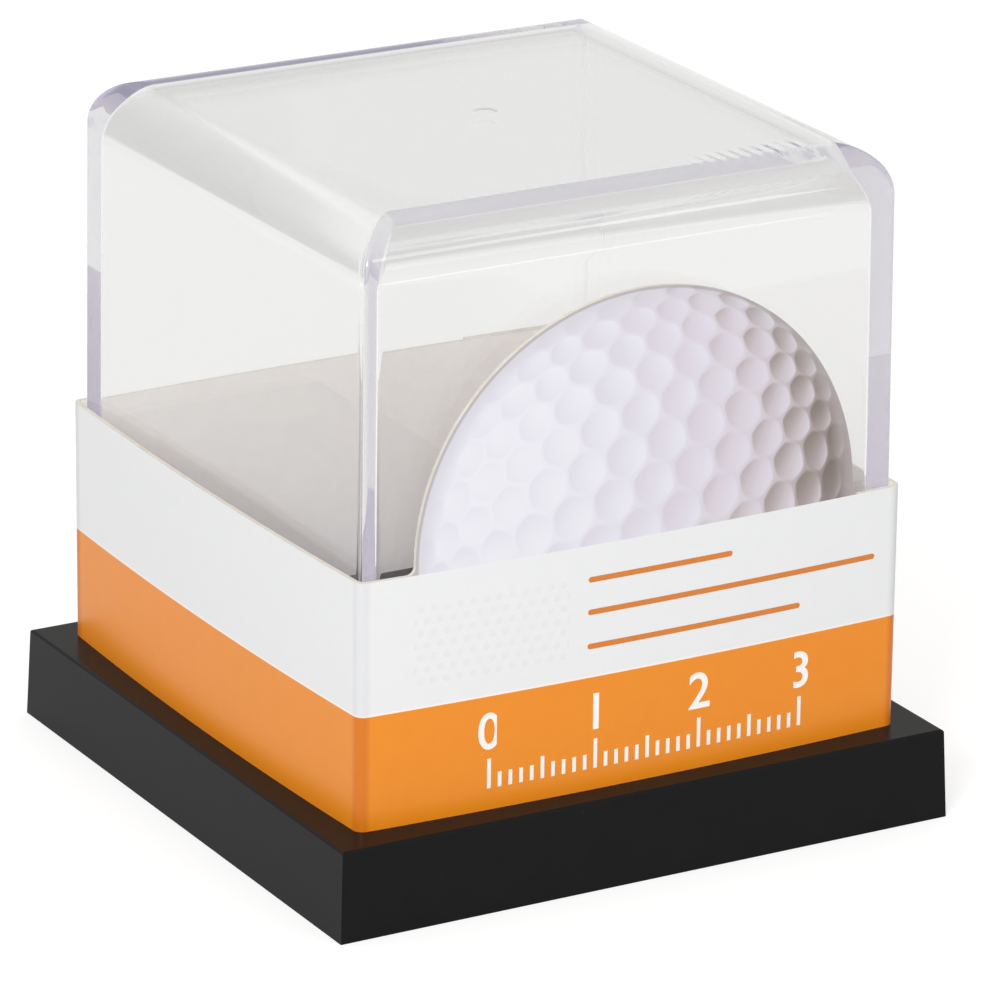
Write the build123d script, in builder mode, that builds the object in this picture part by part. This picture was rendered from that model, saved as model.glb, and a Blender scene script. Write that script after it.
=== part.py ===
"""Golf ball display case: a clear cube cover on a black base, with a printed paperboard sleeve.

Millimetres, +Z up, origin at the centre of the base's footprint. The picture side faces -Y.
"""

import os
from math import atan, degrees

from build123d import *

# The ball that the case is made for
ball_diameter = 42.67
ball_floor_gap = 0.4  # from the ball to the platform inside the ring

# Base: a hollow moulding with a raised platform that the cover drops over
base_side = 58.6
base_height = 7.9
base_lean = 0.3  # each side stands out by this much more at the foot than at the top
base_wall = 1.8
base_edge_radius = 0.25
platform_height = 2.0
platform_gap = 0.2  # to the inside of the cover
platform_chamfer = 0.4
rib_thickness = 1.2

# Ball ring: pressed into a round groove in the platform, so that the ball can't roll
ring_diameter = 22.0
ring_bore = 15.2
ring_height = 3.7
ring_chamfer = 0.5
groove_depth = 1.5

# Cover: a clear moulding, open at the bottom
cover_side = 50.8  # outside, at the rim
cover_height = 51.0
cover_lean = 0.4  # each side stands out by this much more at the rim than at the top
cover_wall = 1.7
cover_top_wall = 2.5
cover_top_radius = 4.0
cover_corner_radius = 0.4
hollow_top_radius = 3.2
hollow_corner_radius = 0.4
gate_diameter = 1.9  # round mark left by the mould's gate, in the middle of the top
gate_depth = 0.08

# Sleeve: one strip of paperboard, folded round the cover and glued where its ends overlap
paper = 0.4
sleeve_gap = 0.12  # to the cover's rim, at the front and sides
sleeve_back_gap = 0.6
sleeve_height = 21.6
sleeve_bow = 0.7  # each panel bellies out by this much between its folds
fold_radius = 0.5  # inside a fold
flap_length = 13.0
lap_inset = 0.6  # from the inner end to the fold it stops at
glue_thickness = 0.1
glue_margin = 1.5  # from the glue to the edges of the lap
picture_diameter = 41.7  # of the round picture on the front
picture_rise = 0.6  # from the sleeve's top edge to the picture's centre
picture_root_radius = 0.7  # where the picture grows out of the top edge

ball_radius = ball_diameter / 2
platform_side = cover_side - 2 * (cover_wall + platform_gap)
platform_top = base_height + platform_height
groove_floor = platform_top - groove_depth


# Base
base_draft = degrees(atan(base_lean / base_height))
hollow_side = base_side - 2 * base_wall
deck_underside = base_height - base_wall
pocket_side = platform_side - 2 * base_wall

with BuildPart() as base:
    with BuildSketch():
        Rectangle(base_side, base_side)
    extrude(amount=base_height, taper=base_draft)
    fillet(base.faces().sort_by(Axis.Z)[-1].edges(), base_edge_radius)
    with BuildSketch(Plane.XY.offset(base_height)):
        RectangleRounded(platform_side, platform_side, hollow_corner_radius)
    extrude(amount=platform_height)
    chamfer(base.faces().sort_by(Axis.Z)[-1].edges(), platform_chamfer)
    # Groove for the ring
    with BuildSketch(Plane.XY.offset(groove_floor)):
        Circle(ring_diameter / 2)
        Circle(ring_bore / 2, mode=Mode.SUBTRACT)
    extrude(amount=groove_depth, mode=Mode.SUBTRACT)
    # The underside is hollow up to the deck, and further up inside the platform but for the groove
    with BuildSketch():
        Rectangle(hollow_side, hollow_side)
    extrude(amount=deck_underside, taper=base_draft, mode=Mode.SUBTRACT)
    with BuildSketch(Plane.XY.offset(deck_underside)):
        Rectangle(pocket_side, pocket_side)
        Circle(ring_diameter / 2 + base_wall, mode=Mode.SUBTRACT)
        Circle(ring_bore / 2 - base_wall)
    extrude(amount=platform_height, mode=Mode.SUBTRACT)
    # Four ribs brace the groove's walls from the sides of that pocket
    with BuildSketch(Plane.XY.offset(deck_underside)):
        Rectangle(pocket_side, rib_thickness)
        Rectangle(rib_thickness, pocket_side)
        Circle(ring_diameter / 2, mode=Mode.SUBTRACT)
    extrude(amount=platform_height)

base.part.label = "base"


# Ball ring, with its inner edge dished to the ball
with BuildPart() as ball_ring:
    with BuildSketch(Plane.XY.offset(groove_floor)):
        Circle(ring_diameter / 2)
        Circle(ring_bore / 2, mode=Mode.SUBTRACT)
    extrude(amount=ring_height)
    outer_edge = ball_ring.faces().sort_by(Axis.Z)[-1].edges().sort_by(SortBy.RADIUS)[-1]
    chamfer(outer_edge, ring_chamfer)
    with Locations((0, 0, platform_top + ball_floor_gap + ball_radius)):
        Sphere(ball_radius, mode=Mode.SUBTRACT)

ball_ring.part.label = "ball_ring"


# Cover: one drafted block with rounded edges, less another one for the space inside
cover_draft = degrees(atan(cover_lean / cover_height))


def round_block(block, top_radius, corner_radius):
    """Round the top of a drafted block, then its corners from the rim up to the top face."""
    fillet(block.faces().sort_by(Axis.Z)[-1].edges(), top_radius)
    fillet(block.edges().filter_by(Axis.Z, tolerance=2 * cover_draft), corner_radius)


with BuildPart() as cover_hollow:
    with BuildSketch(Plane.XY.offset(base_height)):
        Rectangle(cover_side - 2 * cover_wall, cover_side - 2 * cover_wall)
    extrude(amount=cover_height - cover_top_wall, taper=cover_draft)
    round_block(cover_hollow, hollow_top_radius, hollow_corner_radius)

with BuildPart() as cover:
    with BuildSketch(Plane.XY.offset(base_height)):
        Rectangle(cover_side, cover_side)
    extrude(amount=cover_height, taper=cover_draft)
    round_block(cover, cover_top_radius, cover_corner_radius)
    add(cover_hollow.part, mode=Mode.SUBTRACT)
    with BuildSketch(Plane.XY.offset(base_height + cover_height - gate_depth)):
        Circle(gate_diameter / 2)
    extrude(amount=gate_depth, mode=Mode.SUBTRACT)

cover.part.label = "cover"


# Sleeve: its folded strip is drawn along the middle of the board, from the end of the flap outside
# the back, round the right, front, left and back, to the inner end that lies under the flap
half = cover_side / 2 + sleeve_gap + paper / 2
back = cover_side / 2 + sleeve_back_gap + paper / 2
lap = paper + glue_thickness
back_length = 2 * half

with BuildSketch() as strip:
    with BuildLine() as fold_line:
        over_back = SagittaArc((-half, back + lap), (half, back + lap), sleeve_bow, mode=Mode.PRIVATE)
        under_back = SagittaArc((-half, back), (half, back), sleeve_bow, mode=Mode.PRIVATE)
        add(over_back.trim(1 - flap_length / back_length, 1))
        SagittaArc((half, back + lap), (half, -half), sleeve_bow)
        SagittaArc((half, -half), (-half, -half), sleeve_bow)
        SagittaArc((-half, -half), (-half, back), sleeve_bow)
        add(under_back.trim(0, 1 - lap_inset / back_length))
        fillet(fold_line.vertices(), fold_radius + paper / 2)
    trace(line_width=paper)

sleeve_top = base_height + sleeve_height
picture_radius = picture_diameter / 2

with BuildPart() as sleeve:
    with BuildSketch(Plane.XY.offset(base_height)):
        add(strip.sketch)
    extrude(amount=sleeve_height + picture_rise + picture_radius)
    # Above the sleeve's top edge the front panel alone goes on, as a round picture of the ball
    with BuildSketch(Plane.XZ) as beside_picture:
        with Locations((0, sleeve_top)):
            Rectangle(base_side, base_side, align=(Align.CENTER, Align.MIN))
        with Locations((0, sleeve_top + picture_rise)):
            Circle(picture_radius, mode=Mode.SUBTRACT)
        fillet(beside_picture.vertices().sort_by_distance((0, sleeve_top))[:2], picture_root_radius)
    extrude(amount=base_side, mode=Mode.SUBTRACT)
    with BuildSketch(Plane.XZ):
        with Locations((0, sleeve_top)):
            Rectangle(base_side, base_side, align=(Align.CENTER, Align.MIN))
    extrude(amount=-base_side, mode=Mode.SUBTRACT)

sleeve.part.label = "sleeve"


# Glue between the flap and the inner end
glue_line = back + lap / 2
glue_start = 1 - (flap_length - glue_margin) / back_length
glue_end = 1 - (lap_inset + glue_margin) / back_length

with BuildPart() as sleeve_glue:
    with BuildSketch(Plane.XY.offset(base_height + glue_margin)):
        with BuildLine():
            mid_lap = SagittaArc((-half, glue_line), (half, glue_line), sleeve_bow, mode=Mode.PRIVATE)
            add(mid_lap.trim(glue_start, glue_end))
        trace(line_width=lap)
        add(strip.sketch, mode=Mode.SUBTRACT)
    extrude(amount=sleeve_height - 2 * glue_margin)

sleeve_glue.part.label = "sleeve_glue"

os.makedirs("parts", exist_ok=True)
for piece in (base, ball_ring, cover, sleeve, sleeve_glue):
    export_step(piece.part, f"parts/{piece.part.label}.step")
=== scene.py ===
"""Golf ball display case: clear cube cover on a black base, with a printed paperboard sleeve."""
import math

import bmesh
import bpy
import numpy as np
from mathutils import Matrix, Vector, noise


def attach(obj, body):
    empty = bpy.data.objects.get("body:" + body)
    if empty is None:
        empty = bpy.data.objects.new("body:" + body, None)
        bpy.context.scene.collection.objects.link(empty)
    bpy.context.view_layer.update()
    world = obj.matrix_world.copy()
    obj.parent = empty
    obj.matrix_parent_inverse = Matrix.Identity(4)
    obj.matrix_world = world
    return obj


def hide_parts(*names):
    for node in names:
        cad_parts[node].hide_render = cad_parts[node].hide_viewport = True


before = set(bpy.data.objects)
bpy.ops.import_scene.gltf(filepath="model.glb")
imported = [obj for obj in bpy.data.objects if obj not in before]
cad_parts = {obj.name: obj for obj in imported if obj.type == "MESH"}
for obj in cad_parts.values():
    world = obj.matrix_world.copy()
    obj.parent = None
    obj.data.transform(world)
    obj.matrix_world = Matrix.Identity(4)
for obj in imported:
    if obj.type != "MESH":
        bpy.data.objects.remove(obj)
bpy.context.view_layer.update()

MM = 0.001

# Sizes of the solids, in millimetres, as the CAD source has them
BASE_TOP = 7.9
RIM_HALF = 25.4
COVER_HEIGHT = 51.0
COVER_LEAN = 0.4
COVER_WALL = 1.7
COVER_TOP_WALL = 2.5
COVER_TOP_RADIUS = 4.0
COVER_CORNER_RADIUS = 0.4
HOLLOW_TOP_RADIUS = 3.2
HOLLOW_CORNER_RADIUS = 0.4
SCALLOPS_FROM = 7.5  # right of the middle
SCALLOPS_GROW = 4.0
SCALLOP_PITCH = 1.15
SCALLOP_DEPTH = 0.022
SCALLOPS_REACH = 3.0
GATE_RADIUS = 0.95
GATE_DEPTH = 0.08
GATE_EDGE = 0.1  # half the width of its soft edge
WAVE_DEPTH = 0.028
WAVE_SCALE = 0.11
WAVE_FADE = 3.0  # how far from the edge of the flat the waves fade out
PAPER = 0.4
SLEEVE_GAP = 0.12
SLEEVE_BACK_GAP = 0.6
SLEEVE_HEIGHT = 21.6
SLEEVE_BOW = 0.7
FOLD_RADIUS = 0.5
FLAP_LENGTH = 13.0
LAP_INSET = 0.6
GLUE_THICKNESS = 0.1
FRONT = 2  # the front panel's number along the folded strip
PRINTED_SLOT, BARE_SLOT, CUT_SLOT = range(3)  # the sleeve's materials
PICTURE_RADIUS = 41.7 / 2
PICTURE_RISE = 0.6  # of its middle over the sleeve's top edge
PICTURE_ROOT_RADIUS = 0.7

# Sizes that follow from those
COVER_TOP = BASE_TOP + COVER_HEIGHT
SLEEVE_TOP = BASE_TOP + SLEEVE_HEIGHT
PICTURE_REACH = PICTURE_RADIUS + PICTURE_ROOT_RADIUS
PICTURE_ROOT = math.sqrt(PICTURE_REACH ** 2 - (PICTURE_ROOT_RADIUS - PICTURE_RISE) ** 2)
PANEL_HALF = RIM_HALF + SLEEVE_GAP + PAPER / 2
BOW_RADIUS = (PANEL_HALF ** 2 + SLEEVE_BOW ** 2) / (2 * SLEEVE_BOW)

# The print, in millimetres
ORANGE_TOP = 17.9
ORANGE_BLUR = 0.03
PALE_RIM = (0.12, 0.22)  # where the pale rim above the orange ends
PRINT_BLUR = 0.02
FOLD_SHADE_FROM = 24.7  # how far from the middle the painted shade towards a fold starts
FOLD_SHADE_OVER = 0.7
DIMPLE_TURN = 0.16  # how far the rows of dimples are turned and by how much that wanders, in radians
DIMPLE_WANDER = 0.12
DIMPLE_BOWL = (0.0, 0.40)  # where a dimple's slope grows, as shares of the pitch
DIMPLE_RIM = (0.42, 0.50)  # and where it levels out
DOT_PITCH = 1.2
DOT_RADIUS = (0.24, 0.29)  # where a dot starts to fade and where it ends, as shares of the pitch
ROW_SHARE = 0.866  # the staggered rows are this share of a pitch apart
DOT_ROWS = 7
FRONT_FROM = -20.0  # what is printed only on the front lies before this depth
VARNISH_PATCH = (-21.0, -6.6, 19.7, 19.7 + DOT_ROWS * DOT_PITCH * ROW_SHARE)  # left, right, foot and top
INK_DEPTH = 0.04  # half of it is proud of the board
SCALE_START = -14.0
SCALE_FOOT = 9.8
SCALE_BARS = 31
BAR_WIDTH = 0.34
SHORT_BAR = 1.3
LONGER_BY = 0.5  # a fifth bar is longer by this share of a short bar, and a tenth by twice that
NUMBER_FOOT = SCALE_FOOT + 3.5
NUMBER_SIZE = 4.5
NUMBER_BOLDER = 0.05
RULES = ((26.5, 8.95), (23.65, 23.3), (20.65, 15.8))  # height and right end of each printed rule
RULES_START = -4.9
RULE_HALF = 0.24  # half of a rule's thickness

# The clear plastic: what it takes from light, and the painted glow it adds, where light goes straight through
# or has turned inside it
TURNED_AFTER = 1.5  # turns
CAUGHT_AFTER = 5.5
LOSS_STRAIGHT, LOSS_TURNED = 35.0, 150.0
# How strongly the plastic glows: a painted glow, not a lamp
GLOW_STRAIGHT, GLOW_TURNED = 4.5, 30.5

# How finely the meshes are divided
SHARP_FROM = math.radians(40)
WALL_RINGS = 30
EDGE_RINGS = 17
CORNER_SHARES = np.linspace(0, 1, 9)[1:-1]  # places round a rounded corner or a fold
BAND_ROWS = 13  # rows of points up the sleeve's band
PICTURE_ROWS = 25  # and on up its picture


# ---------------------------------------------------------------- materials
def new_material(name):
    material = bpy.data.materials.new(name)
    material.use_nodes = True
    nodes = material.node_tree.nodes
    return material, material.node_tree, nodes["Principled BSDF"]


class Graph:
    """Short calls for making and joining the nodes of one tree."""

    def __init__(self, tree):
        self.tree = tree

    def node(self, kind, values=None, **settings):
        made = self.tree.nodes.new(kind)
        for key, value in settings.items():
            setattr(made, key, value)
        for key, value in (values or {}).items():
            self.put(made.inputs[key], value)
        return made

    def put(self, socket, value):
        if isinstance(value, bpy.types.NodeSocket):
            self.tree.links.new(value, socket)
        else:
            socket.default_value = value

    def math(self, operation, a, b=0.0, c=0.0):
        made = self.node("ShaderNodeMath", operation=operation)
        for socket, value in zip(made.inputs, (a, b, c)):
            self.put(socket, value)
        return made.outputs[0]

    def vector(self, operation, a, b=(0, 0, 0), c=(0, 0, 0)):
        made = self.node("ShaderNodeVectorMath", operation=operation)
        for socket, value in zip(made.inputs, (a, b, c)):
            self.put(socket, value)
        return made.outputs["Value" if operation in ("LENGTH", "DOT_PRODUCT") else "Vector"]

    def scale(self, a, factor):
        made = self.node("ShaderNodeVectorMath", operation="SCALE")
        self.put(made.inputs[0], a)
        self.put(made.inputs["Scale"], factor)
        return made.outputs[0]

    def mix(self, factor, a, b, blend="MIX"):
        """A mix of two colours, whose sockets on the mix node are 6 and 7, and 2 for the result."""
        made = self.node("ShaderNodeMix", data_type="RGBA", blend_type=blend)
        for key, value in (("Factor", factor), (6, a), (7, b)):
            self.put(made.inputs[key], value)
        return made.outputs[2]

    def choose(self, factor, a, b):
        """Vector a where factor is 0 and b where it is 1, whose sockets are 4 and 5, and 1 for the result."""
        made = self.node("ShaderNodeMix", data_type="VECTOR")
        for key, value in (("Factor", factor), (4, a), (5, b)):
            self.put(made.inputs[key], value)
        return made.outputs[1]

    def turn(self, vector, angle, back=False):
        """A vector turned about the Y axis, or turned back."""
        made = self.node("ShaderNodeVectorRotate", rotation_type="Y_AXIS", invert=back)
        self.put(made.inputs["Vector"], vector)
        self.put(made.inputs["Angle"], angle)
        return made.outputs[0]

    def uneven(self, middle, amount, mask):
        """A value that goes from middle up by amount as the mask does from 0 to 1."""
        return self.math("ADD", middle, self.math("MULTIPLY", mask, amount))

    def bump(self, surface, height, strength, distance):
        made = self.node("ShaderNodeBump", {"Strength": strength, "Distance": distance, "Height": height})
        self.put(surface.inputs["Normal"], made.outputs[0])

    def pair(self, kind, first, second, factor=None):
        """Two shaders added, or mixed by a factor."""
        made = self.node(kind)
        for socket, value in zip(made.inputs, (first, second) if factor is None else (factor, first, second)):
            self.put(socket, value)
        return made.outputs[0]

    def step(self, value, low, high, smooth=True):
        """0 below low and 1 above high, with a soft or a straight rise between them."""
        made = self.node("ShaderNodeMapRange", interpolation_type="SMOOTHSTEP" if smooth else "LINEAR")
        for key, number in (("Value", value), ("From Min", low), ("From Max", high)):
            self.put(made.inputs[key], number)
        return made.outputs[0]

    def ramp(self, value, stops):
        made = self.node("ShaderNodeValToRGB")
        self.put(made.inputs[0], value)
        elements = made.color_ramp.elements
        while len(elements) < len(stops):
            elements.new(0.5)
        for element, (place, colour) in zip(elements, stops):
            element.position = place
            element.color = colour
        return made.outputs[0]

    def noise(self, place, scale, detail=2.0, roughness=0.5):
        made = self.node("ShaderNodeTexNoise", {"Scale": scale, "Detail": detail, "Roughness": roughness})
        self.put(made.inputs["Vector"], place)
        return made.outputs["Fac"]


def srgb(red, green, blue):
    """A colour given as 0 to 255 in sRGB."""
    def linear(v):
        v /= 255
        return v / 12.92 if v <= 0.04045 else ((v + 0.055) / 1.055) ** 2.4

    return (linear(red), linear(green), linear(blue), 1.0)


def millimetres(graph):
    """Object coordinates in millimetres."""
    place = graph.node("ShaderNodeTexCoord").outputs["Object"]
    return graph.scale(place, 1 / MM)


def new_group(name, inputs, outputs):
    """A node group with its graph, its inputs' sockets and its outputs' sockets."""
    group = bpy.data.node_groups.new(name, "ShaderNodeTree")
    for label, kind, value in inputs:
        socket = group.interface.new_socket(name=label, in_out="INPUT", socket_type=kind)
        if value is not None:
            socket.default_value = value
    for label, kind in outputs:
        group.interface.new_socket(name=label, in_out="OUTPUT", socket_type=kind)
    graph = Graph(group)
    entry = group.nodes.new("NodeGroupInput")
    leave = group.nodes.new("NodeGroupOutput")
    return group, graph, entry.outputs, leave.inputs


def board_fibres_group():
    """Mottle and fine fibres of paperboard."""
    group, g, given, out = new_group(
        "board_fibres",
        [
            ("Place", "NodeSocketVector", None),
            ("Mottle Scale", "NodeSocketFloat", 0.6),
            ("Fibre Scale", "NodeSocketFloat", 7.0),
        ],
        [("Mottle", "NodeSocketFloat"), ("Fibres", "NodeSocketFloat")],
    )
    g.put(out["Mottle"], g.noise(given["Place"], given["Mottle Scale"], 3.0))
    stretched = g.vector("MULTIPLY", given["Place"], (1.0, 1.0, 0.35))
    g.put(out["Fibres"], g.noise(stretched, given["Fibre Scale"], 3.0, 0.65))
    return group


def ball_picture_group():
    """A dimpled ball, drawn flat: lit from the left, and darker and browner towards the right."""
    group, g, given, out = new_group(
        "ball_picture",
        [
            ("Place", "NodeSocketVector", None),
            ("Dimple Pitch", "NodeSocketFloat", 4.0),
            ("Dimple Slope", "NodeSocketFloat", 0.40),
        ],
        [("Color", "NodeSocketColor"), ("Inside", "NodeSocketFloat")],
    )
    from_middle = g.vector("SUBTRACT", given["Place"], (0, 0, SLEEVE_TOP + PICTURE_RISE))
    flat = g.vector("MULTIPLY", from_middle, (1, 0, 1))
    across = g.scale(flat, 1 / PICTURE_RADIUS)
    from_centre = g.vector("LENGTH", across)
    squared = g.math("MINIMUM", g.vector("DOT_PRODUCT", across, across), 1.0)
    toward = g.math("SQRT", g.math("SUBTRACT", 1.0, squared))
    # Dimples are laid out on a map of the sphere on which they keep their size
    spread = g.math("SQRT", g.math("DIVIDE", 2.0, g.math("ADD", 1.0, toward)))
    angle = g.uneven(DIMPLE_TURN, DIMPLE_WANDER, g.noise(flat, 0.12, 1.0))
    turned = g.turn(g.scale(flat, spread), angle)
    laid = g.scale(turned, g.math("DIVIDE", 1.0, given["Dimple Pitch"]))
    half_cell = (0.5, 0.5, math.sqrt(3.0) / 2)
    minus_half = tuple(-v for v in half_cell)
    first = g.vector("WRAP", laid, half_cell, minus_half)
    second = g.vector("WRAP", g.vector("ADD", laid, half_cell), half_cell, minus_half)
    first_off = g.vector("MULTIPLY", first, (1, 0, 1))
    second_off = g.vector("MULTIPLY", second, (1, 0, 1))
    nearer = g.math("LESS_THAN", g.vector("LENGTH", second_off), g.vector("LENGTH", first_off))
    off = g.choose(nearer, first_off, second_off)
    # Rounded hexagons, which nearly touch
    sides = [(math.cos(t), 0.0, math.sin(t)) for t in (0.0, math.pi / 3, 2 * math.pi / 3)]
    widths = [g.math("ABSOLUTE", g.vector("DOT_PRODUCT", off, side)) for side in sides]
    hexagon = g.math("MAXIMUM", g.math("MAXIMUM", widths[0], widths[1]), widths[2])
    reach = g.math("MULTIPLY", g.math("ADD", g.vector("LENGTH", off), hexagon), 0.5)
    # Inside a dimple the surface leans towards its middle; the ridges between dimples are rounded
    within = g.math("SUBTRACT", 1.0, g.step(reach, *DIMPLE_RIM))
    lean = g.math("MULTIPLY", within, g.step(reach, *DIMPLE_BOWL, smooth=False))
    lean = g.math("MULTIPLY", lean, given["Dimple Slope"])
    slope = g.scale(g.turn(g.vector("NORMALIZE", off), angle, back=True), lean)
    facing = g.node("ShaderNodeCombineXYZ")
    g.put(facing.inputs["Y"], g.math("MULTIPLY", toward, -1.0))
    normal = g.vector("NORMALIZE", g.vector("SUBTRACT", g.vector("ADD", facing.outputs[0], across), slope))
    drawn_light = Vector((-0.62, -0.66, 0.30)).normalized()
    lit = g.vector("DOT_PRODUCT", normal, tuple(drawn_light))
    colour = g.ramp(
        g.step(lit, -0.45, 1.0, smooth=False),
        [
            (0.0, srgb(110, 96, 91)),
            (0.16, srgb(138, 126, 122)),
            (0.28, srgb(168, 156, 156)),
            (0.40, srgb(197, 187, 193)),
            (0.54, srgb(212, 204, 214)),
            (0.72, srgb(217, 212, 223)),
            (0.86, srgb(222, 220, 230)),
            (1.0, srgb(231, 230, 237)),
        ],
    )
    # Towards its rim the ball fades to an even shade, and ends in a thin line
    rim_colour = g.mix(g.step(lit, -0.25, 0.4), srgb(176, 167, 168), srgb(209, 207, 215))
    rim = g.math("MULTIPLY", g.step(from_centre, 0.90, 0.985), 0.75)
    colour = g.mix(rim, colour, rim_colour)
    outline = g.math("MULTIPLY", g.step(from_centre, 0.984, 0.992), 0.7)
    colour = g.mix(outline, colour, srgb(168, 160, 161))
    g.put(out["Color"], colour)
    height = g.node("ShaderNodeSeparateXYZ", {0: given["Place"]}).outputs["Z"]
    g.put(out["Inside"], g.step(height, SLEEVE_TOP - PRINT_BLUR, SLEEVE_TOP + PRINT_BLUR))
    return group


BOARD_FIBRES = board_fibres_group()
BALL_PICTURE = ball_picture_group()


def board_fibres(g, place, **scales):
    """The outputs of the fibres' group at that place."""
    fibres = g.node("ShaderNodeGroup", {"Place": place, **scales}, node_tree=BOARD_FIBRES)
    return fibres.outputs["Mottle"], fibres.outputs["Fibres"]


def varnish_dots(g, across, depth, height):
    """1 on the dots of a staggered patch on the front panel."""
    left, right, low, high = VARNISH_PATCH
    row = g.math("DIVIDE", g.math("SUBTRACT", height, low), DOT_PITCH * ROW_SHARE)
    odd = g.math("MODULO", g.math("FLOOR", row), 2.0)
    column = g.math("DIVIDE", g.math("SUBTRACT", across, left), DOT_PITCH)
    column = g.math("ADD", column, g.math("MULTIPLY", odd, 0.5))
    from_dot = [g.math("SUBTRACT", g.math("FRACT", part), 0.5) for part in (column, row)]
    rise = g.math("MULTIPLY", from_dot[1], ROW_SHARE)
    place = g.node("ShaderNodeCombineXYZ", {"X": from_dot[0], "Y": rise}).outputs[0]
    dot = g.math("SUBTRACT", 1.0, g.step(g.vector("LENGTH", place), *DOT_RADIUS))
    inside = g.math("MULTIPLY", g.math("GREATER_THAN", across, left), g.math("LESS_THAN", across, right))
    inside = g.math("MULTIPLY", inside, g.math("GREATER_THAN", height, low))
    inside = g.math("MULTIPLY", inside, g.math("LESS_THAN", height, high))
    inside = g.math("MULTIPLY", inside, g.math("LESS_THAN", depth, FRONT_FROM))
    return g.math("MULTIPLY", dot, inside)


def printed_board():
    """Coated board: white above, orange below, with the ball's picture above the sleeve's top edge."""
    material, tree, surface = new_material("printed_board")
    g = Graph(tree)
    place = millimetres(g)
    mottle, fibres = board_fibres(g, place)
    across, depth, height = g.node("ShaderNodeSeparateXYZ", {0: place}).outputs
    white = g.mix(mottle, srgb(230, 231, 232), srgb(234, 234, 236))
    orange = g.mix(mottle, srgb(233, 136, 18), srgb(237, 141, 24))
    upper = g.step(height, ORANGE_TOP - ORANGE_BLUR, ORANGE_TOP + ORANGE_BLUR)
    colour = g.mix(upper, orange, white)
    # The orange has a thin pale rim above it
    rim_starts = g.step(height, ORANGE_TOP - PRINT_BLUR, ORANGE_TOP + PRINT_BLUR)
    rim_ends = g.step(height, ORANGE_TOP + PALE_RIM[0], ORANGE_TOP + PALE_RIM[1])
    rim = g.math("SUBTRACT", rim_starts, rim_ends)
    colour = g.mix(g.math("MULTIPLY", rim, 0.8), colour, srgb(250, 240, 228))
    # Shade is painted along the folds: the white is darker there, and the orange darker and deeper
    near_fold = g.math("MINIMUM", g.math("ABSOLUTE", across), g.math("ABSOLUTE", depth))
    fold_shade = g.mix(upper, (0.80, 0.68, 0.45, 1), (0.88, 0.88, 0.89, 1))
    colour = g.mix(g.step(near_fold, FOLD_SHADE_FROM, FOLD_SHADE_FROM + FOLD_SHADE_OVER), colour, fold_shade, "MULTIPLY")
    dots = varnish_dots(g, across, depth, height)
    colour = g.mix(dots, colour, srgb(229, 230, 229))
    ball = g.node("ShaderNodeGroup", {"Place": place}, node_tree=BALL_PICTURE)
    colour = g.mix(ball.outputs["Inside"], colour, ball.outputs["Color"])
    g.put(surface.inputs["Base Color"], colour)
    rough = g.uneven(0.28, 0.12, fibres)
    g.put(surface.inputs["Roughness"], g.math("SUBTRACT", rough, g.math("MULTIPLY", dots, 0.16)))
    g.bump(surface, fibres, 0.08, 0.00005)
    return material


def bare_board(name, low, high):
    """Unprinted board, which is used for its cut edges and for dried glue too."""
    material, tree, surface = new_material(name)
    g = Graph(tree)
    mottle, fibres = board_fibres(g, millimetres(g), **{"Mottle Scale": 0.9})
    halves = [g.math("MULTIPLY", mask, 0.5) for mask in (mottle, fibres)]
    g.put(surface.inputs["Base Color"], g.mix(g.step(g.math("ADD", *halves), 0.3, 0.7), low, high))
    g.put(surface.inputs["Roughness"], g.uneven(0.72, 0.15, fibres))
    g.bump(surface, fibres, 0.15, 0.00006)
    return material


def printing_ink(name, low, high):
    """Ink printed on the board, slightly uneven where it covers the fibres."""
    material, tree, surface = new_material(name)
    g = Graph(tree)
    fibres = board_fibres(g, millimetres(g))[1]
    g.put(surface.inputs["Base Color"], g.mix(fibres, low, high))
    g.put(surface.inputs["Roughness"], g.uneven(0.3, 0.15, fibres))
    return material


def black_moulding(name, shade, rough, level):
    """Black polystyrene with faint mould texture."""
    material, tree, surface = new_material(name)
    g = Graph(tree)
    place = millimetres(g)
    cloud = g.noise(place, 0.35, 2.0)
    grain = g.noise(place, 9.0, 2.0)
    lighter = [v + 5 for v in shade]
    g.put(surface.inputs["Base Color"], g.mix(cloud, srgb(*shade), srgb(*lighter)))
    g.put(surface.inputs["Roughness"], g.uneven(rough, 0.1, cloud))
    surface.inputs["Specular IOR Level"].default_value = level
    g.bump(surface, grain, 0.05, 0.00003)
    return material


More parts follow.
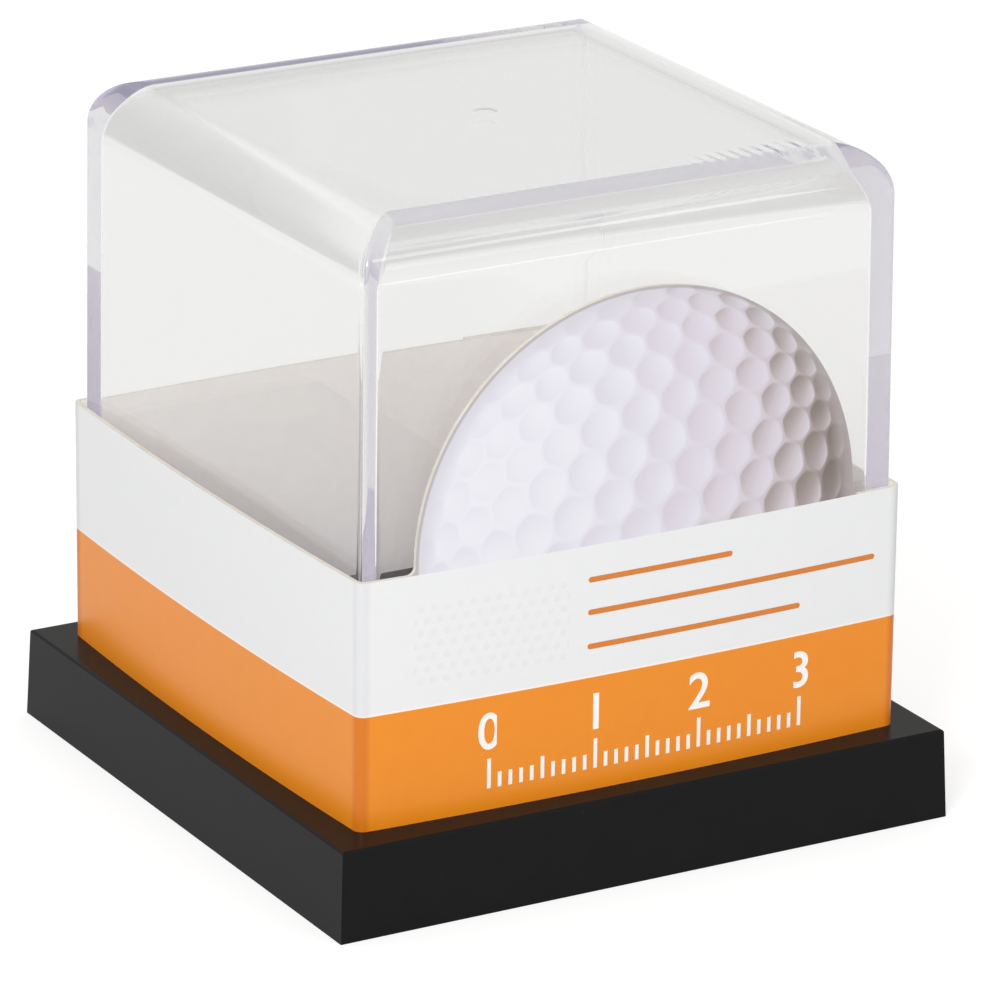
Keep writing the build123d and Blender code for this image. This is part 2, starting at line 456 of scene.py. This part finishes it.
def clear_plastic():
    """Polished polystyrene that lets lamps through; a painted lavender glow shows where the way through is
    long.
    """
    material, tree, surface = new_material("clear_plastic")
    g = Graph(tree)
    place = millimetres(g)
    surface.inputs["IOR"].default_value = 1.59
    surface.inputs["Transmission Weight"].default_value = 1.0
    surface.inputs["Base Color"].default_value = (0.985, 0.986, 0.982, 1)
    handled = g.step(g.noise(place, 0.8, 3.0), 0.55, 0.8)
    g.put(surface.inputs["Roughness"], g.math("MULTIPLY", handled, 0.012))
    rays = g.node("ShaderNodeLightPath").outputs
    # Light that turns inside the plastic is lost along the way, and a painted lavender glow about as strong
    # is added in its place.
    # Light that goes straight through a wall meets little of either.
    turned = g.math("GREATER_THAN", rays["Ray Depth"], TURNED_AFTER)
    loss = g.node("ShaderNodeVolumeAbsorption", {"Color": (0.75, 0.76, 0.68, 1)})
    painted_glow = g.node("ShaderNodeEmission", {"Color": (0.668, 0.604, 1.0, 1)})
    g.put(loss.inputs["Density"], g.math("MULTIPLY_ADD", turned, LOSS_TURNED - LOSS_STRAIGHT, LOSS_STRAIGHT))
    g.put(painted_glow.inputs["Strength"], g.math("MULTIPLY_ADD", turned, GLOW_TURNED - GLOW_STRAIGHT, GLOW_STRAIGHT))
    loss_and_glow = g.pair("ShaderNodeAddShader", loss.outputs[0], painted_glow.outputs[0])
    # Lamps shine straight through, and light caught in a wall comes out after a few turns along it
    lamp = g.math("MAXIMUM", rays["Is Shadow Ray"], rays["Is Diffuse Ray"])
    caught = g.math("GREATER_THAN", rays["Ray Depth"], CAUGHT_AFTER)
    passes = g.node("ShaderNodeBsdfTransparent", {"Color": (1, 1, 1, 1)})
    unbent = g.math("MAXIMUM", lamp, caught)
    both = g.pair("ShaderNodeMixShader", surface.outputs[0], passes.outputs[0], unbent)
    output = tree.nodes["Material Output"]
    g.put(output.inputs["Surface"], both)
    g.put(output.inputs["Volume"], loss_and_glow)
    return material


# ---------------------------------------------------------------- meshes
def make_piece(name, points, faces, materials, slots=None):
    """A mesh object from points in millimetres, shaded smooth except over sharp edges."""
    mesh = bpy.data.meshes.new(name)
    mesh.from_pydata([tuple(p * MM for p in q) for q in points], [], faces)
    for material in materials:
        mesh.materials.append(material)
    if slots is not None:
        mesh.polygons.foreach_set("material_index", slots)
    work = bmesh.new()
    work.from_mesh(mesh)
    bmesh.ops.remove_doubles(work, verts=work.verts, dist=1e-6)
    bmesh.ops.dissolve_degenerate(work, edges=work.edges, dist=1e-7)
    for face in work.faces:
        face.smooth = True
    work.to_mesh(mesh)
    work.free()
    mesh.set_sharp_from_angle(angle=SHARP_FROM)
    piece = bpy.data.objects.new(name, mesh)
    bpy.context.scene.collection.objects.link(piece)
    return piece


def block_rings(rim_half, lean, rim_z, height, top_radius, corner_radius, places_x, places_y):
    """Rings of points up a drafted block with rounded edges, and half the width of its flat top."""
    tilt = math.atan(lean / height)
    axis_z = rim_z + height - top_radius
    axis_x = rim_half - (axis_z - rim_z) * math.tan(tilt) - top_radius / math.cos(tilt)
    # Each ring point hangs off a corner ball's path: where along the side, and which way it faces
    sides = []
    around = (((0, -1), places_x), ((1, 0), places_y), ((0, 1), places_x[::-1]), ((-1, 0), places_y[::-1]))
    for (sx, sy), along in around:
        for u in along:
            sides.append((u if sx == 0 else sx, u if sy == 0 else sy, sx, sy))
        tx, ty = (-sy, sx)  # the next side, anticlockwise
        cx, cy = sx + tx, sy + ty
        for t in CORNER_SHARES:
            sides.append((cx, cy, sx * (1 - t) + tx * t, sy * (1 - t) + ty * t))
    sides = np.array(sides)

    def ring(centre, centre_z, angle):
        facing = np.column_stack([sides[:, 2:] * math.cos(angle), np.full(len(sides), math.sin(angle))])
        facing /= np.linalg.norm(facing, axis=1)[:, None]
        base = np.column_stack([sides[:, :2] * centre, np.full(len(sides), centre_z)])
        return base + corner_radius * facing

    rings = []
    run = top_radius - corner_radius
    top_of_wall = axis_z + run * math.sin(tilt)
    foot = rim_z - corner_radius * math.sin(tilt)
    # The wall's rings stop just short of the rounded edge's first one
    for share in np.r_[np.linspace(0, 0.97, WALL_RINGS), 0.992]:
        z = foot + (top_of_wall - foot) * share
        centre = rim_half - (z - rim_z) * math.tan(tilt) - corner_radius / math.cos(tilt)
        rings.append(ring(centre, z, tilt))
    for angle in np.linspace(tilt, math.pi / 2, EDGE_RINGS):
        rings.append(ring(axis_x + run * math.cos(angle), axis_z + run * math.sin(angle), angle))
    return rings, axis_x


def ring_faces(rings, start, flip):
    """Faces between rings whose points are numbered from start."""
    count = len(rings[0])
    faces = []
    for i in range(len(rings) - 1):
        low = start + i * count
        high = low + count
        for j in range(count):
            k = (j + 1) % count
            quad = (low + j, low + k, high + k, high + j)
            faces.append(quad[::-1] if flip else quad)
    return faces


def spread_places(dense, even=33):
    """Places from -1 to 1 along a side: an even run, some close to the ends, and dense ones where asked."""
    places = np.r_[np.linspace(-1, 1, even), -0.995, -0.985, 0.985, 0.995, dense]
    return np.array(sorted(set(np.round(places, 5))))


def clear_cover(material):
    """The hollow cube, open below, with the small marks of its moulding."""
    # Points lie close together at the gate mark, and at the scallops along the front edge's right half
    gate = np.linspace(-1.3, 1.3, 27) / 21.0
    places_x = spread_places(np.r_[gate, np.linspace(0.05, 0.98, 150)])
    places_y = spread_places(np.r_[gate, np.linspace(-0.99, -0.84, 13)])
    outer, outer_half = block_rings(
        RIM_HALF, COVER_LEAN, BASE_TOP, COVER_HEIGHT,
        COVER_TOP_RADIUS, COVER_CORNER_RADIUS, places_x, places_y)
    inner_height = COVER_HEIGHT - COVER_TOP_WALL
    inner, inner_half = block_rings(
        RIM_HALF - COVER_WALL, COVER_LEAN * inner_height / COVER_HEIGHT, BASE_TOP, inner_height,
        HOLLOW_TOP_RADIUS, HOLLOW_CORNER_RADIUS, places_x, places_y)
    points, faces = [], []

    def flat_top(half, z, flip, height_of):
        """A flat square of points at z, raised or sunk by height_of."""
        start = len(points)
        for v in places_y:
            for u in places_x:
                points.append((u * half, v * half, z + height_of(u * half, v * half)))
        n = len(places_x)
        for j in range(len(places_y) - 1):
            for i in range(n - 1):
                a = start + j * n + i
                quad = (a, a + 1, a + n + 1, a + n)
                faces.append(quad[::-1] if flip else quad)

    def gate_mark(x, y):
        """A shallow round dent with a soft edge, in the middle of the top."""
        t = min(max((math.hypot(x, y) - GATE_RADIUS + GATE_EDGE) / (2 * GATE_EDGE), 0), 1)
        return -GATE_DEPTH * (1 - t * t * (3 - 2 * t))

    def waves(x, y, half):
        """Slight waves of the moulded surface, which fade out at the edges of the flat."""
        edge = min(half - abs(x), half - abs(y)) / WAVE_FADE
        place = Vector((x * WAVE_SCALE, y * WAVE_SCALE, 4.0))
        return WAVE_DEPTH * max(0.0, min(edge, 1)) * noise.noise(place)

    def scallops(x, y, half):
        """Marks that the mould's cutter left beside the front edge of the hollow's top."""
        inward = (y + half) / SCALLOPS_REACH
        if inward > 1:
            return 0.0
        grown = min(max((x - SCALLOPS_FROM) / SCALLOPS_GROW, 0.0), 1.0) * min(max((half - x) / 0.5, 0.0), 1.0)
        return SCALLOP_DEPTH * grown * math.sin(math.pi * inward) * math.sin(2 * math.pi * x / SCALLOP_PITCH)

    def inner_relief(x, y):
        return waves(x, y, inner_half) + scallops(x, y, inner_half)

    points.extend(np.concatenate(outer).tolist())
    faces.extend(ring_faces(outer, 0, False))
    start = len(points)
    points.extend(np.concatenate(inner).tolist())
    faces.extend(ring_faces(inner, start, True))
    count = len(outer[0])
    for j in range(count):
        k = (j + 1) % count
        faces.append((j, start + j, start + k, k))
    flat_top(outer_half, COVER_TOP, False, gate_mark)
    flat_top(inner_half, COVER_TOP - COVER_TOP_WALL, True, inner_relief)
    return make_piece("clear_cover", points, faces, [material])


def sleeve_path():
    """Samples along the middle of the folded strip, from the flap's end round to the inner end.

    Each is its place, the outward direction there and its panel's number, or -1 on a fold.
    """
    lap = PAPER + GLUE_THICKNESS
    half = PANEL_HALF
    fold = FOLD_RADIUS + PAPER / 2
    back = RIM_HALF + SLEEVE_BACK_GAP + PAPER / 2
    corners = (
        (-half, back + lap), (half, back + lap), (half, -half),
        (-half, -half), (-half, back), (half, back))
    corners = [np.array(corner) for corner in corners]
    panels = []
    for a, b in zip(corners[:-1], corners[1:]):
        chord = np.linalg.norm(b - a)
        radius = (chord ** 2 / 4 + SLEEVE_BOW ** 2) / (2 * SLEEVE_BOW)
        along = (b - a) / chord
        outward = np.array([-along[1], along[0]])
        panels.append(((a + b) / 2 + outward * (SLEEVE_BOW - radius), radius))
    # Centres of the rounded folds, each inside both of its panels
    folds = []
    for i in range(4):
        (c1, r1), (c2, r2) = panels[i], panels[i + 1]
        r1, r2 = r1 - fold, r2 - fold
        d = np.linalg.norm(c2 - c1)
        a = (r1 ** 2 - r2 ** 2 + d ** 2) / (2 * d)
        h = math.sqrt(r1 ** 2 - a ** 2)
        along = (c2 - c1) / d
        across = np.array([-along[1], along[0]])
        found = [c1 + a * along + s * h * across for s in (1, -1)]
        folds.append(min(found, key=lambda p: np.linalg.norm(p - corners[i + 1])))
    samples = []

    def sweep(centre, start, end):
        """The angle at which an arc starts, and by how much it turns to its end."""
        first, last = (math.atan2(*(point - centre)[::-1]) for point in (start, end))
        return first, (last - first + math.pi) % (2 * math.pi) - math.pi

    def arc(centre, radius, start, end, places, panel):
        """Adds samples at these shares of the way along an arc."""
        first, turn = sweep(centre, start, end)
        for share in places:
            angle = first + turn * share
            out = np.array([math.cos(angle), math.sin(angle)])
            samples.append((centre + radius * out, out, panel))

    def touch(i, fold_centre):
        """Where a panel's arc meets a fold's."""
        centre, radius = panels[i]
        return centre + radius * (fold_centre - centre) / np.linalg.norm(fold_centre - centre)

    def at_share(i, share):
        """The point a share of the way along a whole panel's arc."""
        centre, radius = panels[i]
        first, turn = sweep(centre, corners[i], corners[i + 1])
        return centre + radius * np.array([math.cos(first + turn * share), math.sin(first + turn * share)])

    starts = [at_share(0, 1 - FLAP_LENGTH / (2 * half))] + [touch(i + 1, folds[i]) for i in range(4)]
    ends = [touch(i, folds[i]) for i in range(4)] + [at_share(4, 1 - LAP_INSET / (2 * half))]
    even = np.r_[0, 0.012, np.linspace(0.04, 0.96, 26), 0.988, 1]
    for i in range(5):
        places = even
        if i == FRONT:
            # Here the samples also follow the picture's outline: its rounded roots and its circle
            centre, radius = panels[i]
            meet = math.acos(PICTURE_ROOT / PICTURE_REACH)
            root_turns = np.linspace(0, 0.95 * (math.pi / 2 - meet), 7)
            roots = [PICTURE_ROOT - PICTURE_ROOT_RADIUS * math.sin(t) for t in root_turns]
            circle = [PICTURE_RADIUS * math.cos(t) for t in np.linspace(meet, math.pi - meet, 97)]
            right, left = starts[i][0], ends[i][0]
            xs = roots + circle + [-x for x in roots]
            xs += [right, right - 0.4, right - 1.5, left + 0.4, left + 1.5, left]
            xs = sorted(set(np.round(xs, 5)), reverse=True)
            first, turn = sweep(centre, starts[i], ends[i])
            places = [(-math.acos((x - centre[0]) / radius) - first) / turn for x in xs]
        arc(*panels[i], starts[i], ends[i], places, i)
        if i < 4:
            arc(folds[i], fold, ends[i], starts[i + 1], CORNER_SHARES, -1)
    return samples


def board_top(x):
    """How high the board reaches at x on the front panel."""
    x = abs(x)
    if x >= PICTURE_ROOT:
        return SLEEVE_TOP
    if x > PICTURE_RADIUS * PICTURE_ROOT / PICTURE_REACH:
        rise = max(PICTURE_ROOT_RADIUS ** 2 - (PICTURE_ROOT - x) ** 2, 0.0)
        return SLEEVE_TOP + PICTURE_ROOT_RADIUS - math.sqrt(rise)
    return SLEEVE_TOP + PICTURE_RISE + math.sqrt(PICTURE_RADIUS ** 2 - x ** 2)


def printed_sleeve(materials):
    """The folded strip with its round picture, with a material for each of its slots."""
    samples = sleeve_path()
    low = np.linspace(BASE_TOP, SLEEVE_TOP, BAND_ROWS)
    shares = np.linspace(0, 1, PICTURE_ROWS)[1:]
    rows = len(low) + len(shares)
    points = []
    for side in (1, -1):
        for place, out, panel in samples:
            x, y = place + side * out * PAPER / 2
            top = board_top(place[0]) if panel == FRONT else SLEEVE_TOP
            for z in low:
                points.append((x, y, z))
            for share in shares:
                points.append((x, y, SLEEVE_TOP + (top - SLEEVE_TOP) * share))
    count = len(samples)
    inner = count * rows
    faces, slots = [], []

    def add(slot, face):
        faces.append(face)
        slots.append(slot)

    for i in range(count - 1):
        a, b = i * rows, (i + 1) * rows
        crowned = samples[i][2] == FRONT and samples[i + 1][2] == FRONT
        last = rows - 1 if crowned else len(low) - 1
        for j in range(last):
            # The samples run clockwise seen from above, so this quad faces outwards
            quad = (b + j, a + j, a + j + 1, b + j + 1)
            add(PRINTED_SLOT, quad)
            add(BARE_SLOT, tuple(v + inner for v in quad[::-1]))
        add(CUT_SLOT, (b + last, a + last, a + last + inner, b + last + inner))
        add(CUT_SLOT, (a, b, b + inner, a + inner))
    end = (count - 1) * rows
    for j in range(len(low) - 1):
        add(CUT_SLOT, (j, j + inner, j + 1 + inner, j + 1))
        add(CUT_SLOT, (end + j, end + j + 1, end + j + 1 + inner, end + j + inner))
    return make_piece("printed_sleeve", points, faces, materials, slots)


def front_depth(x):
    """Where the bowed front panel's printed face is at x."""
    return -PANEL_HALF - PAPER / 2 - (math.sqrt(BOW_RADIUS ** 2 - x ** 2) - BOW_RADIUS + SLEEVE_BOW)


def scale_marks_tree():
    """Bars in a row, longer at each fifth and tenth, laid on the bowed front panel."""
    tree = bpy.data.node_groups.new("scale_marks", "GeometryNodeTree")
    sizes = (
        ("Start", "Vector"), ("Pitch", "Float"), ("Count", "Int"), ("Bar Width", "Float"),
        ("Ink Depth", "Float"), ("Short Bar", "Float"), ("Longer By", "Float"),
        ("Bow Radius", "Float"), ("Bow", "Float"), ("Ink", "Material"))
    for label, kind in sizes:
        tree.interface.new_socket(name=label, in_out="INPUT", socket_type="NodeSocket" + kind)
    tree.interface.new_socket(name="Geometry", in_out="OUTPUT", socket_type="NodeSocketGeometry")
    g = Graph(tree)
    given = tree.nodes.new("NodeGroupInput").outputs
    leave = tree.nodes.new("NodeGroupOutput").inputs

    def combined(x=0.0, y=0.0, z=0.0):
        return g.node("ShaderNodeCombineXYZ", {"X": x, "Y": y, "Z": z}).outputs[0]

    row = g.node("GeometryNodeMeshLine", {
        "Count": given["Count"], "Start Location": given["Start"], "Offset": combined(x=given["Pitch"]),
    }, mode="OFFSET")
    size = combined(given["Bar Width"], given["Ink Depth"], given["Short Bar"])
    bar = g.node("GeometryNodeMeshCube", {"Size": size})
    lift = combined(z=g.math("MULTIPLY", given["Short Bar"], 0.5))
    stood = g.node("GeometryNodeTransform", {"Geometry": bar.outputs["Mesh"], "Translation": lift})
    index = g.node("GeometryNodeInputIndex").outputs[0]
    fifth, tenth = (g.math("COMPARE", g.math("MODULO", index, every), 0.0, 0.1) for every in (5.0, 10.0))
    longer = g.math("MULTIPLY", g.math("ADD", fifth, tenth), given["Longer By"])
    stretch = combined(1.0, 1.0, g.math("ADD", 1.0, longer))
    bars = g.node("GeometryNodeInstanceOnPoints", {
        "Points": row.outputs["Mesh"], "Instance": stood.outputs[0], "Scale": stretch})
    real = g.node("GeometryNodeRealizeInstances", {"Geometry": bars.outputs[0]})
    x = g.node("ShaderNodeSeparateXYZ", {0: g.node("GeometryNodeInputPosition").outputs[0]}).outputs["X"]
    radius_squared = g.math("MULTIPLY", given["Bow Radius"], given["Bow Radius"])
    squares = g.math("SUBTRACT", radius_squared, g.math("MULTIPLY", x, x))
    belly = g.math("ADD", g.math("SUBTRACT", g.math("SQRT", squares), given["Bow Radius"]), given["Bow"])
    shift = combined(y=g.math("MULTIPLY", belly, -1.0))
    bowed = g.node("GeometryNodeSetPosition", {"Geometry": real.outputs[0], "Offset": shift})
    inked = g.node("GeometryNodeSetMaterial", {"Geometry": bowed.outputs[0], "Material": given["Ink"]})
    tree.links.new(inked.outputs[0], leave["Geometry"])
    return tree


def plain_mesh(piece):
    """The piece as its modifiers or its text leave it."""
    depsgraph = bpy.context.evaluated_depsgraph_get()
    return bpy.data.meshes.new_from_object(piece.evaluated_get(depsgraph))


def scale_marks(ink):
    """The printed scale's bars, in metres."""
    holder = bpy.data.objects.new("scale_marks", bpy.data.meshes.new("scale_marks_start"))
    bpy.context.scene.collection.objects.link(holder)
    tree = scale_marks_tree()
    rule = holder.modifiers.new("scale_marks", "NODES")
    rule.node_group = tree
    face = -(PANEL_HALF + PAPER / 2)
    sizes = {
        "Start": (SCALE_START * MM, face * MM, SCALE_FOOT * MM), "Pitch": MM, "Count": SCALE_BARS,
        "Bar Width": BAR_WIDTH * MM, "Ink Depth": INK_DEPTH * MM, "Short Bar": SHORT_BAR * MM,
        "Longer By": LONGER_BY, "Bow Radius": BOW_RADIUS * MM, "Bow": SLEEVE_BOW * MM, "Ink": ink}
    for socket in tree.interface.items_tree:
        if socket.in_out == "INPUT":
            rule[socket.identifier] = sizes[socket.name]
    mesh = plain_mesh(holder)
    bpy.data.objects.remove(holder)
    return mesh


def scale_number(number, x, z):
    """One plain number standing on z and centred on x, on the bowed front, in metres."""
    curve = bpy.data.curves.new("number", "FONT")
    curve.body = str(number)
    curve.size = NUMBER_SIZE * MM
    curve.offset = NUMBER_BOLDER * MM
    curve.align_x = "CENTER"
    curve.extrude = INK_DEPTH / 2 * MM
    curve.resolution_u = 6
    holder = bpy.data.objects.new("number", curve)
    bpy.context.scene.collection.objects.link(holder)
    mesh = plain_mesh(holder)
    bpy.data.objects.remove(holder)
    stand = Matrix.Rotation(math.pi / 2, 4, "X")
    mesh.transform(Matrix.Translation((x * MM, front_depth(x) * MM, z * MM)) @ stand)
    return mesh


def joined_piece(name, meshes, material):
    """One mesh object from several closed meshes."""
    work = bmesh.new()
    for mesh in meshes:
        work.from_mesh(mesh)
        bpy.data.meshes.remove(mesh)
    bmesh.ops.remove_doubles(work, verts=work.verts, dist=1e-6)
    whole = bpy.data.meshes.new(name)
    work.to_mesh(whole)
    work.free()
    whole.materials.append(material)
    whole.polygons.foreach_set("material_index", [0] * len(whole.polygons))
    piece = bpy.data.objects.new(name, whole)
    bpy.context.scene.collection.objects.link(piece)
    return piece


def printed_rules(ink):
    """Three plain rules with round ends, where the white part of the front has its lines of print."""
    points, faces = [], []
    for height, end in RULES:
        middle, reach = (RULES_START + end) / 2, (end - RULES_START) / 2
        run = reach - RULE_HALF
        stations = [-run - RULE_HALF * math.cos(t) for t in np.linspace(0.25, math.pi / 2, 6)]
        stations += list(np.linspace(-run, run, 14)[1:-1]) + [-u for u in stations[::-1]]
        start = len(points)
        for u in stations:
            past_end = max(abs(u) - run, 0.0)
            rise = math.sqrt(RULE_HALF ** 2 - past_end ** 2)
            y = front_depth(middle + u)
            for z, side in ((-rise, -1), (rise, -1), (rise, 1), (-rise, 1)):
                points.append((middle + u, y + side * INK_DEPTH / 2, height + z))
        last = start + 4 * (len(stations) - 1)
        faces.append((start, start + 3, start + 2, start + 1))
        faces.append((last, last + 1, last + 2, last + 3))
        for a in range(start, last, 4):
            for j in range(4):
                k = (j + 1) % 4
                faces.append((a + k, a + j, a + 4 + j, a + 4 + k))
    return make_piece("printed_rules", points, faces, [ink])


# ---------------------------------------------------------------- the pieces
PRINTED = printed_board()
BARE = bare_board("bare_board", srgb(246, 240, 233), srgb(252, 247, 241))
CUT_EDGE = bare_board("board_cut_edge", srgb(208, 202, 191), srgb(222, 217, 207))
CLEAR = clear_plastic()
BLACK = black_moulding("black_plastic", (20, 20, 21), 0.2, 0.08)
RING_BLACK = black_moulding("ring_plastic", (24, 24, 25), 0.3, 0.4)
WHITE_INK = printing_ink("white_ink", srgb(244, 238, 230), srgb(252, 249, 246))
ORANGE_INK = printing_ink("orange_ink", srgb(205, 118, 38), srgb(218, 130, 50))
GLUE = bare_board("dried_glue", srgb(214, 205, 180), srgb(226, 218, 196))

cover = clear_cover(CLEAR)
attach(cover, "cover")
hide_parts("cover")

sleeve = printed_sleeve([PRINTED, BARE, CUT_EDGE])
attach(sleeve, "sleeve")
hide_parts("sleeve")

number_meshes = [scale_number(k, SCALE_START + 10 * k, NUMBER_FOOT) for k in range(4)]
scale_print = joined_piece("printed_scale", [scale_marks(WHITE_INK)] + number_meshes, WHITE_INK)
rules_print = printed_rules(ORANGE_INK)
for marks in (scale_print, rules_print):
    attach(marks, "sleeve")

for node, material in (("base", BLACK), ("ball_ring", RING_BLACK), ("sleeve_glue", GLUE)):
    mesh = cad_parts[node].data
    mesh.materials.clear()
    mesh.materials.append(material)


# ---------------------------------------------------------------- floor, lights and camera
def pale_floor():
    """A wide floor that goes over into the white background."""
    material, tree, surface = new_material("pale_floor")
    g = Graph(tree)
    tree.nodes.remove(surface)
    paint = g.node("ShaderNodeBsdfDiffuse", {"Color": (0.50, 0.50, 0.50, 1)})
    # It glows where the camera sees it, directly or in the plastic, so that it has no far edge
    rays = g.node("ShaderNodeLightPath").outputs
    through = g.math("MAXIMUM", rays["Is Glossy Ray"], rays["Is Transmission Ray"])
    seen = g.math("MAXIMUM", rays["Is Camera Ray"], through)
    strength = g.uneven(0.455, 0.125, rays["Is Camera Ray"])
    glow = g.node("ShaderNodeEmission", {"Color": (1, 1, 1, 1), "Strength": strength})
    lift = g.pair("ShaderNodeAddShader", paint.outputs[0], glow.outputs[0])
    both = g.pair("ShaderNodeMixShader", paint.outputs[0], lift, seen)
    g.put(tree.nodes["Material Output"].inputs["Surface"], both)
    reach, height = 3000.0, -0.02
    corners = [(x * reach, y * reach, height) for x, y in ((-1, -1), (1, -1), (1, 1), (-1, 1))]
    floor = make_piece("floor", corners, [(0, 1, 2, 3)], [material])


pale_floor()

world = bpy.data.worlds.new("studio")
bpy.context.scene.world = world
world.use_nodes = True
w = Graph(world.node_tree)
background = world.node_tree.nodes["Background"]
toward = w.node("ShaderNodeTexCoord").outputs["Generated"]
elevation = w.node("ShaderNodeSeparateXYZ", {0: toward}).outputs["Z"]
sky = w.ramp(elevation, [
    (0.0, (0.95, 0.95, 0.95, 1)), (0.2, (0.80, 0.80, 0.79, 1)),
    (0.32, (0.66, 0.66, 0.64, 1)), (1.0, (0.78, 0.78, 0.76, 1))])
# The studio is brighter on the side that the case faces, and has a window behind it
ahead = w.vector("DOT_PRODUCT", toward, (0.2, -0.98, 0.0))
sky = w.mix(w.step(ahead, -0.2, 0.6), sky, (0.97, 0.97, 0.96, 1))
window = w.vector("DOT_PRODUCT", toward, (-0.20, 0.83, 0.52))
sky = w.mix(w.step(window, 0.82, 0.94), sky, (1.0, 1.0, 0.98, 1))
# The camera sees plain white behind the case
camera_ray = w.node("ShaderNodeLightPath").outputs["Is Camera Ray"]
w.put(background.inputs["Color"], w.mix(camera_ray, sky, (1, 1, 1, 1)))
background.inputs["Strength"].default_value = 1.0

CASE_MIDDLE = Vector((0, 0, 0.03))


def softbox(name, toward, distance, size, watts):
    """A square lamp that far from the case's middle in that direction, in metres, aimed at it."""
    lamp = bpy.data.lights.new(name, "AREA")
    lamp.shape = "SQUARE"
    lamp.size = size
    lamp.energy = watts
    holder = bpy.data.objects.new(name, lamp)
    direction = Vector(toward).normalized()
    holder.location = CASE_MIDDLE + direction * distance
    holder.rotation_euler = direction.to_track_quat("Z", "Y").to_euler()
    bpy.context.scene.collection.objects.link(holder)


softbox("key_softbox", (-0.63, -0.63, 0.45), distance=0.8, size=0.20, watts=2.9)
softbox("side_softbox", (0.47, -0.834, 0.307), distance=1.1, size=0.12, watts=0.12)

camera_data = bpy.data.cameras.new("camera")
camera_data.lens = 242.32
camera_data.sensor_width = 36.0
camera_data.clip_start = 0.01
camera_data.clip_end = 20.0
camera = bpy.data.objects.new("camera", camera_data)
bpy.context.scene.collection.objects.link(camera)
# The camera's own axes and its place
right = Vector((0.870174, -0.492632, 0.010630))
up = Vector((0.155701, 0.295367, 0.942611))
axes = Matrix((right, up, right.cross(up))).transposed()
camera.matrix_world = Matrix.Translation(Vector((-0.264342, -0.464746, 0.214316))) @ axes.to_4x4()
bpy.context.scene.camera = camera

bpy.context.scene.view_settings.view_transform = "Standard"
# Light turns many times in the cover's walls before it comes out at an edge
for kind in ("max_bounces", "glossy_bounces", "transmission_bounces", "transparent_max_bounces"):
    setattr(bpy.context.scene.cycles, kind, 64)
